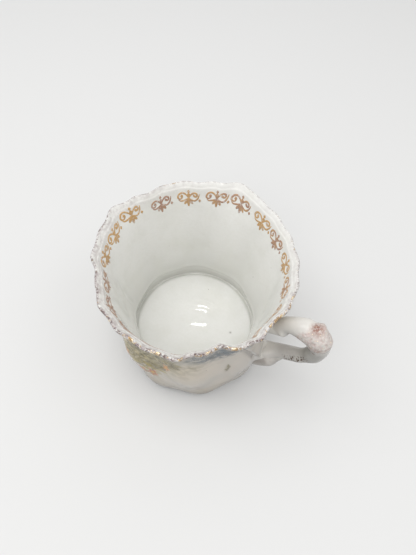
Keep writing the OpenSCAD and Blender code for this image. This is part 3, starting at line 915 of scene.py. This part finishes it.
def make_foot_ring():
    inner = RING_R - RING_W
    bend = np.radians(np.linspace(0, 90, 7))
    drawn_in = RING_ROUND * (1 - np.cos(bend))
    height = RING_ROUND * (1 - np.sin(bend))
    radii = np.concatenate([[inner], inner + drawn_in, RING_R - drawn_in[::-1], [RING_R]])
    heights = np.concatenate([[RING_H], height, height[::-1], [RING_H]])
    points = row_points(rows_of(radii, heights)[:, None, :], PHI[None, :])
    faces = ring_faces(len(radii), AROUND, looped=True)
    make_piece("foot_ring_bare", points, faces, foot_paint(), "bare_porcelain", "foot_ring")


# How stained the lip is and how much gold is left on it: angle from the handle, and share
LIP_STAIN = [
    (0, 0.7), (25, 0.35), (60, 0.2), (110, 0.15), (140, 0.45), (175, 0.6), (200, 0.75), (225, 0.9),
    (260, 0.95), (300, 1.0), (345, 0.9),
]
GOLD_LEFT = [
    (0, 0.6), (20, 0.35), (50, 0.3), (80, 0.35), (110, 0.2), (130, 0.5), (137, 0.85), (146, 0.3), (165, 0.25),
    (187, 0.25), (216, 0.3), (240, 0.35), (255, 0.6), (263, 0.4), (272, 0.85), (279, 0.4), (286, 0.7),
    (292, 0.45), (298, 0.7), (305, 0.45), (313, 0.8), (319, 0.5), (325, 0.85), (332, 0.5), (342, 0.65),
    (352, 0.85),
]


def make_lip_gilding():
    rows = lip_line()[LIP_STEPS:]
    sides = np.linspace(0, 1, len(rows))
    swell = (GILT_T + FILM_SUNK) * np.sin(np.pi * sides) ** 0.5 * smooth(0.0, 0.45, sides) - FILM_SUNK
    cover = rows.copy()
    cover[:, 0] += swell * -np.cos(np.pi * sides)
    cover[:, 1] += swell * np.sin(np.pi * sides)
    inner = rows.copy()
    inner[:, 0] += FILM_SUNK * np.cos(np.pi * sides)
    inner[:, 1] -= FILM_SUNK
    loop = np.concatenate([cover, inner[::-1]])
    points = row_points(loop[:, None, :], PHI[None, :])
    turned = np.concatenate([sides, sides[::-1]])
    masks = {"gold": eased(GOLD_LEFT, PHI), "stain": eased(LIP_STAIN, PHI), "side": turned[:, None]}
    fields = {name: np.broadcast_to(mask, (len(loop), AROUND)).ravel() for name, mask in masks.items()}
    faces = ring_faces(len(loop), AROUND, looped=True)
    make_piece("lip_gilding", points, faces, gilt_paint(), "gilding", "rim_gilding", fields)


# Border motif: width, stretch along the lip and up, widths of its strokes, wider than in the source, and lines
# from its middle in motif widths, x along the lip and y up
MOTIF_W = 7.6
MOTIF_STRETCH = 1.06
MOTIF_RISE = 1.12
STROKE_W = 0.7
PETAL_W = 1.12
SCROLL_LEFT = [
    (-0.03, 0.0), (-0.1, 0.13), (-0.24, 0.235), (-0.4, 0.2), (-0.475, 0.06), (-0.41, -0.04), (-0.31, -0.02),
    (-0.285, 0.08), (-0.35, 0.11),
]
SCROLL_RIGHT = [
    (0.03, 0.0), (0.1, 0.13), (0.23, 0.235), (0.345, 0.21), (0.375, 0.11), (0.31, 0.045), (0.235, 0.085),
    (0.27, 0.14),
]
ARM_LEFT = [(-0.03, -0.05), (-0.12, -0.11), (-0.24, -0.15), (-0.36, -0.15), (-0.45, -0.08)]
ARM_RIGHT = [(0.03, -0.05), (0.13, -0.12), (0.27, -0.16), (0.38, -0.08), (0.45, 0.06), (0.48, 0.21)]
PETALS = [
    [(0, 0.05), (0, -0.12), (0, -0.3), (0, -0.45)],
    [(-0.02, -0.06), (-0.075, -0.17), (-0.13, -0.25), (-0.18, -0.33)],
    [(0.02, -0.06), (0.08, -0.17), (0.135, -0.25), (0.19, -0.33)],
    [(0, 0.02), (-0.005, 0.1), (0.005, 0.16), (0, 0.21)],
]
DOTS = [(0, 0.29), (0.5, -0.14)]
# Angles of the motifs, how brown each has become, from 0 for warm gold to 1, and how much higher it sits
MOTIFS = [
    (18, 0.5, 0), (36, 0.1, 0), (55, 0.7, 0), (72, 0.1, 0.2), (92, 0.7, 0.2), (109, 0.6, 0.3), (129, 0.35, 0),
    (149, 0.9, 0), (172, 0.15, 1.0), (190, 0.05, 0.2), (207, 0.35, 0), (226, 0.75, 0), (244, 0.9, 0),
    (262, 1.0, 0), (280, 1.0, 0), (299, 1.0, 0), (319, 0.9, 0), (339, 0.7, 0), (358, 0.5, 0),
]
# Section of a stroke: shares of its half width, and heights over the wall
STROKE_SECTION = [(-1, -FILM_SUNK), (-0.7, 0.05), (0, 0.08), (0.7, 0.05), (1, -FILM_SUNK)]


def stroke_lines():
    """The motif's lines, each with the share of the full width at its points."""
    for line in (SCROLL_LEFT, SCROLL_RIGHT):
        yield line, STROKE_W, (0.5, 1.0, 1.1, 1.0, 0.9, 1.7), 6
    for line in (ARM_LEFT, ARM_RIGHT):
        yield line, STROKE_W, (0.8, 1.0, 1.15, 0.9, 0.35), 6
    for line in PETALS:
        yield line, PETAL_W, (0.4, 0.7, 1.05, 0.5), 6
    for x, y in DOTS:
        half = PETAL_W / MOTIF_W / 2
        yield [(x, y - half), (x, y), (x, y + half)], PETAL_W, (0.25, 1.0, 0.25), 5


def make_stencil_border():
    border_r = radius_at(INSIDE, BORDER_Z)
    section = np.array(STROKE_SECTION)
    points = []
    faces = []
    tones = []
    for middle, tone, lift in MOTIFS:
        for line, width, shares, fineness in stroke_lines():
            steps = np.linspace(0, len(line) - 1, fineness * (len(line) - 1) + 1)
            path = along(np.array(line) * MOTIF_W, steps)
            way = np.gradient(path, axis=0)
            side = np.stack([-way[:, 1], way[:, 0]], -1) / np.linalg.norm(way, axis=1)[:, None]
            share = np.interp(np.linspace(0, 1, len(path)), np.linspace(0, 1, len(shares)), shares)
            half = (share * width / 2)[:, None, None]
            flat = path[:, None, :] + side[:, None, :] * half * section[None, :, :1]
            phi = middle - np.degrees(MOTIF_STRETCH * flat[..., 0] / border_r)
            height = BORDER_Z + lift + MOTIF_RISE * flat[..., 1]
            ring = row_points(inside_rows(height), phi, -section[None, :, 1])
            start = sum(len(p) for p in points)
            rows, around = ring.shape[:2]
            points.append(ring.reshape(-1, 3))
            last = (rows - 1) * around
            ends = [range(around), range(last + around - 1, last - 1, -1)]
            faces += [[start + i for i in face] for face in (*ring_faces(rows, around), *ends)]
            tones.append(np.full(rows * around, tone))
    fields = {"tone": np.concatenate(tones)}
    points = np.concatenate(points)
    make_piece("stencil_border", points, faces, stencil_paint(), "gilding", "inner_gilt_border", fields)


# Times that a seat is slid towards the wall, and step along the handle's line for its direction
SLIDES = 8
EAR_STEP = 0.02


def wall_outside(points):
    """Outer radius of the bowl at the height and angle of points."""
    phi = angle_of(points)
    share = np.maximum(0, (points[..., 2] - LOBE_Z) / (CUP_H - LOBE_Z))
    return row_radius(outside_rows(points[..., 2] - share**LIFT_POWER * eased(LIP_WAVES, phi)), phi)


def on_wall(points, dip, wall=wall_outside):
    """Points slid into the wall at an angle below the horizontal, until they lie just under its surface."""
    way = np.array([-cos_deg(dip), 0, -sin_deg(dip)])
    for _ in range(SLIDES):
        r = np.hypot(points[..., 0], points[..., 1])
        off = r - wall(points) + SEAT_SUNK
        toward = (points[..., 0] * way[0] + points[..., 1] * way[1]) / r
        points = points - way * (off / toward)[..., None]
    return points


def ear_frame(t):
    """Middle, outward direction and half sizes of the handle's section."""
    last = len(EAR) - 1
    way = along(EAR_LINE, np.minimum(t + EAR_STEP, last)) - along(EAR_LINE, np.maximum(t - EAR_STEP, 0))
    way = way / np.linalg.norm(way, axis=-1, keepdims=True)
    return along(EAR_LINE, t), np.stack([-way[..., 1], way[..., 0]], -1), along(EAR_HALF, t)


def ear_section(t, a, grow=0.0, factor=1.0):
    """Points of the handle's section, grown by a distance and a factor; a runs round from the outer side."""
    t, a = np.broadcast_arrays(np.asarray(t, float), np.asarray(a, float))
    middle, out, half = ear_frame(t)
    flat = factor * (half[..., 0] + grow) * cos_deg(a)
    across = factor * (half[..., 1] + grow) * sin_deg(a)
    return np.stack([middle[..., 0] + out[..., 0] * flat, across, middle[..., 1] + out[..., 1] * flat], -1)


def rough_field(points, scale, octaves):
    """Noise from about -1 to 1 at points in millimetres."""
    flat = points.reshape(-1, 3) / scale
    values = [noise.fractal(Vector(p), 1.0, 2.0, octaves) for p in flat]
    return np.array(values).reshape(points.shape[:-1])


def hill(t, a, at, size):
    """A round hill of height one on the handle, at t and an angle, with a size along each."""
    return bell(t - at[0], size[0]) * bell(wrapped(a - at[1]), size[1])


HANDLE_FACETS = 120
HANDLE_ROWS = 250
# Hills and dents of the handle: height, place along it and angle round it, and size along each
HILLS = [
    (0.7, (0.34, -112), (0.2, 26)),
    (0.6, (6.1, -88), (0.35, 34)),
    (0.6, (2.68, 45), (0.17, 26)),
    (0.25, (3.38, 10), (0.15, 30)),
    (-0.4, (2.28, 25), (0.16, 40)),
    (-0.25, (3.05, 28), (0.18, 30)),
    (-0.15, (4.0, 0), (0.6, 60)),
]
# Hole under the knob, red bark, and the painted shade on the crown of the upper arm: place and size of each
HOLE = ((3.78, -106), (0.07, 11))
RED = ((2.46, 2), (0.3, 36))
SHADED_CROWN = ((1.9, -20), (0.55, 50))
# Where the pitted underside of the lower arm lies along it and round it, and where the painted shade under the
# knob's bend lies along it
UNDER_T = (4.8, 5.4, 6.6, 7.2)
UNDER_A = (-135, -115, -85, -60)
BEND_SHADE_T = (3.5, 4.1, 5.0, 6.0)


def handle_relief(t, a, points):
    """How far the handle's surface stands out, with masks for its bark, pits and flecks, for the painted shade
    on it and for its paler root.
    """
    start = 2.0 + 0.005 * np.clip(a + 42, -70, 100)
    bark = smooth(start - 0.15, start + 0.2, t + 0.1 * sin_deg(3 * a)) * smooth(3.55, 3.42, t)
    bark = bark * smooth(140, 100, np.abs(a))
    coarse = rough_field(points, 1.5, 3)
    fine = rough_field(points, 0.5, 2)
    ridges = 0.28 - 0.75 * np.abs(coarse) + 0.25 * fine
    under = window(UNDER_T, t) * window(UNDER_A, a)
    pit_noise = rough_field(points + 40.0, 0.55, 2)
    pits = under * smooth(0.0, 0.3, pit_noise)
    hole = hill(t, a, *HOLE)
    relief = 0.1 * rough_field(points, 5.0, 2) + 0.35 * bark * ridges - 0.5 * hole
    relief += 0.1 * under * pit_noise - 0.25 * pits
    for height, at, size in HILLS:
        relief += height * hill(t, a, at, size)
    masks = {
        "bark": bark,
        "hollow": smooth(0.28, 0.55, np.abs(coarse)),
        "pits": np.clip(pits + 1.6 * hole, 0, 1),
        "flecks": np.clip(bark + 0.7 * under, 0, 1),
        "red": bark * hill(t, a, *RED),
        # Painted shade: the lower arm, the crown of the upper arm and under the knob's bend
        "low": smooth(3.0, 4.4, t),
        "crown": hill(t, a, *SHADED_CROWN),
        "bend": window(BEND_SHADE_T, t) * smooth(-30, -70, a),
        "root": smooth(7.0, 8.2, t),
    }
    return relief, masks


# Angles of the arm's near side, and the spread of the lower arm's root over the wall there
NEAR_SIDE = (-165, -110, -75, -30)
ROOT_SPREAD = np.array([0, -4.6, 2.6])
# Where the arm's near side begins to swell towards the root, and how far it does
ROOT_START = 6.9
ROOT_SWELL = 1.5
ROOT_STEPS = 36
# How much wider the arm's seat is all round and towards the finger gap, at which angle, and its half width
ROOT_GROW = 0.2
ROOT_FLARE = 3.5
ROOT_FLARE_TURN = -150.0
ROOT_FLARE_HALF = 55.0
# Height of the root's fillet where the arm meets the wall
ROOT_FILLET = 0.6
# Way that the arm keeps on its line while it spreads
ROOT_LEAD = np.array([-2.3, 0, -1.9])
# How much wider the upper arm's seat is, its rings, and how they are eased
HEAD_GROW = 0.25
HEAD_STEPS = 9
HEAD_POWER = 1.5


def wall_shown(points):
    """Outer radius of the bowl with the fan on it."""
    return wall_outside(points) + joint_fan(angle_of(points), points[..., 2])[0]


def lower_root(a, ring):
    """Rings from the lower arm's last one to its seat, hollowed so that the arm runs out into the fan."""
    flare = ROOT_GROW + ROOT_FLARE * bell(wrapped(a - ROOT_FLARE_TURN), ROOT_FLARE_HALF)
    plain = ear_section(np.full_like(a, EAR_LAST), a, flare, ARM_FLARE)
    seat = on_wall(plain + window(NEAR_SIDE, a)[:, None] * ROOT_SPREAD, LOWER_DIP, wall_shown)
    steps = np.linspace(0, 1, ROOT_STEPS)[:-1, None]
    ease = smooth(0, 1, steps)[..., None]
    onward = ring + ROOT_LEAD * (1 - steps[..., None])
    rings = seat * (1 - ease) + onward * ease
    r = np.hypot(rings[..., 0], rings[..., 1])
    wall = wall_shown(rings)
    # Height over the wall, which the fillet keeps from going below it and which runs out flat at the seat
    height = (r - wall) * smooth(-0.5, 0.8, steps)
    fillet = ROOT_FILLET * smooth(1.0, 0.6, steps) * smooth(0.0, 0.8, steps) ** 2
    height = (height + np.sqrt(height**2 + 4 * fillet**2)) / 2 * smooth(0.0, 0.6, steps)
    sunk = smooth(0.15, 0.0, steps)
    factor = (wall + height * (1 - sunk) - SEAT_SUNK * sunk) / r
    return (rings * np.stack([factor, factor, np.ones_like(factor)], -1))[::-1]


def make_handle():
    a = wrapped(np.arange(HANDLE_FACETS) * 360 / HANDLE_FACETS)
    t = np.linspace(0, EAR_LAST, HANDLE_ROWS)[:, None]
    grid_t, grid_a = np.broadcast_arrays(t, a[None, :])
    plain = ear_section(grid_t, grid_a)
    relief, masks = handle_relief(grid_t, grid_a, plain)
    relief = relief + ROOT_SWELL * smooth(ROOT_START, EAR_LAST + 0.1, grid_t) ** 2 * window(NEAR_SIDE, grid_a)
    arms = ear_section(grid_t, grid_a, relief)
    start = on_wall(ear_section(np.zeros_like(a), a, HEAD_GROW, ARM_FLARE), UPPER_DIP)
    ease = np.linspace(0, 1, HEAD_STEPS)[:-1, None, None] ** HEAD_POWER
    head = start * (1 - ease) + arms[:1] * ease
    tail = lower_root(a, arms[-1])
    grid = np.concatenate([head, arms, tail])
    poles = np.stack([start.mean(0), on_wall(tail[-1].mean(0), 0)])
    before = np.zeros(head.size // 3)
    after = np.ones(tail.size // 3 + len(poles))
    fields = {
        name: np.concatenate([before, mask.ravel(), mask[-1, 0] * after]) for name, mask in masks.items()
    }
    make_piece("handle_twig", *capped(grid, poles), handle_paint(), "porcelain", "handle", fields)


# Veins of the leaf: half width of the rib, number, slant, half width and reach of branches, depth and reach
RIB_W = 0.07
BRANCHES = 6
BRANCH_SLANT = 0.35
BRANCH_W = 0.1
BRANCH_V = (0.05, 0.2, 0.8, 1.0)
VEIN_D = 0.1
VEIN_U = (0.1, 0.4, 0.9, 1.0)
# Crease beside the leaf's root: its ends along the leaf, place across it, half width there and depth
LEAF_CREASE = (0.6, 0.4)
LEAF_CREASE_V = -0.8
LEAF_CREASE_W = 0.12
LEAF_CREASE_D = 0.2
LEAF_ROWS = 90
LEAF_COLUMNS = 61


def leaf_points(u, v, thick, relief):
    """Points of the leaf: u from the wall to the tip, v across it, thick from its back to its face."""
    narrow = 1 - LEAF_NARROW * u**LEAF_TAPER
    notch = smooth(LEAF_ROOT, 0.7, u) * (1 - cos_deg(360 * LEAF_LOBES * u)) / 2
    wide = LEAF_WRAP * narrow * (1 - LEAF_NOTCH * notch)
    root = np.maximum(0, 1 - u / LEAF_ROOT)[..., None]
    t = EAR_LAST - LEAF_SPAN * np.maximum(0, u - LEAF_ROOT) / (1 - LEAF_ROOT)
    edge = LEAF_EDGE * np.where(v < 0, smooth(0.2, 0.6, u), 1)
    body = (LEAF_T + LEAF_FLARE * (1 - u**LEAF_FALL)) * (1 - (1 - edge) * np.abs(v) ** LEAF_ROUND)
    body = body * (1 - LEAF_NOTCH * notch * np.abs(v)) * (1 - (1 - LEAF_FAR) * np.maximum(v, 0))
    grow = thick * (body + relief) - (1 - thick) * SEAT_SUNK
    a = wide * np.where(v > 0, LEAF_FAR * v, v)
    free = ear_section(t, a, grow)
    seated = on_wall(ear_section(t, a, grow, ARM_FLARE), LOWER_DIP + thick * (LEAF_DIP - LOWER_DIP))
    return root * seated + (1 - root) * free


def make_leaf():
    u = np.linspace(0, 1, LEAF_ROWS)[:, None]
    v = np.linspace(-1, 1, LEAF_COLUMNS)[None, :]
    u, v = np.broadcast_arrays(u, v)
    across = np.abs(v)
    branches = np.abs((BRANCHES * (u + BRANCH_SLANT * across)) % 1 - 0.5)
    side_ribs = bell(branches, BRANCH_W) * window(BRANCH_V, across)
    veins = np.clip(bell(v, RIB_W) + 0.7 * side_ribs, 0, 1)
    crease = smooth(*LEAF_CREASE, u) * bell(v - LEAF_CREASE_V, LEAF_CREASE_W)
    relief = -VEIN_D * veins * window(VEIN_U, u) - LEAF_CREASE_D * crease
    face = leaf_points(u, v, 1.0, relief)
    back = leaf_points(u, v, 0.0, relief)
    grid = np.concatenate([face, back[:, ::-1]], 1)
    rows, around = grid.shape[:2]
    faces = ring_faces(rows, around)
    for start in (0, (rows - 1) * around):
        for i in range(LEAF_COLUMNS - 1):
            faces.append((start + i, start + i + 1, start + around - 2 - i, start + around - 1 - i))
    shown = {"veins": veins, "crease": crease}
    fields = {name: np.concatenate([mask, np.zeros_like(mask)], 1).ravel() for name, mask in shown.items()}
    make_piece("leaf_moulded", grid, faces, leaf_paint(), "porcelain", "handle_leaf", fields)


# Camera at the photograph's view: angles in degrees, and lengths in millimetres
CAMERA_AZIMUTH = 30.0
CAMERA_ELEVATION = 59.9
CAMERA_ROLL = 3.85
CAMERA_DISTANCE = 126.5
CAMERA_TARGET = Vector((7.17, -3.83, 57.0))
SENSOR_W = 36.0
FOCAL_PIXELS = 417.0
IMAGE_W = 416.0
# Nearest that the camera sees, in metres
NEAREST = 0.01


def make_camera():
    lens = bpy.data.cameras.new("camera")
    lens.sensor_fit = "HORIZONTAL"
    lens.sensor_width = SENSOR_W
    lens.lens = SENSOR_W * FOCAL_PIXELS / IMAGE_W
    lens.clip_start = NEAREST
    camera = placed("camera", lens)
    pose = Matrix.Translation(CAMERA_TARGET * MM)
    for angle, axis in ((CAMERA_AZIMUTH, "Z"), (90 - CAMERA_ELEVATION, "X"), (CAMERA_ROLL, "Z")):
        pose = pose @ Matrix.Rotation(math.radians(angle), 4, axis)
    camera.matrix_world = pose @ Matrix.Translation((0, 0, CAMERA_DISTANCE * MM))
    scene.camera = camera


# Lamps: name, place in metres, width, length, power in watts
LAMP_AIM = Vector((0.0, 0.0, 0.03))
LAMPS = [
    ("key", (-0.02, -0.02, 0.6), 0.22, 0.22, 0.68),
    ("front", (0.08, -0.34, 0.52), 0.3, 0.3, 0.65),
    ("left", (-0.3, -0.12, 0.55), 0.3, 0.3, 0.6),
    ("right", (0.3, 0.12, 0.55), 0.3, 0.3, 0.35),
    ("glint", (-0.085, 0.139, 0.38), 0.021, 0.0028, 0.0085),
]


def make_lamps():
    for name, place, width, length, power in LAMPS:
        lamp = bpy.data.lights.new(name, "AREA")
        lamp.shape = "ELLIPSE"
        lamp.size = width
        lamp.size_y = length
        lamp.energy = power
        holder = placed(name, lamp)
        holder.location = place
        holder.rotation_euler = (LAMP_AIM - Vector(place)).to_track_quat("-Z", "Y").to_euler()


# Strength of the light from all round
WORLD_LIGHT = 0.85


def make_world():
    world = bpy.data.worlds.new("studio")
    world.use_nodes = True
    scene.world = world
    nodes = Nodes(world.node_tree)
    background = world.node_tree.nodes["Background"].inputs
    nodes.put(background["Color"], (1, 1, 1, 1))
    nodes.put(background["Strength"], nodes.span(nodes.seen(), 0.0, 1.0, WORLD_LIGHT, 1.0))


# Half width of the floor, in metres
FLOOR_HALF = 2.0


def make_floor():
    mesh = bpy.data.meshes.new("floor")
    sides = ((-1, -1), (1, -1), (1, 1), (-1, 1))
    corners = [(x * FLOOR_HALF, y * FLOOR_HALF, 0) for x, y in sides]
    mesh.from_pydata(corners, [], [(0, 1, 2, 3)])
    mesh.materials.append(stage_paint())
    floor = placed("floor", mesh)


make_camera()
make_lamps()
make_world()
make_floor()
make_bowl()
make_foot_ring()
make_lip_gilding()
make_stencil_border()
make_handle()
make_leaf()

scene.view_settings.view_transform = "Standard"
bpy.context.view_layer.update()
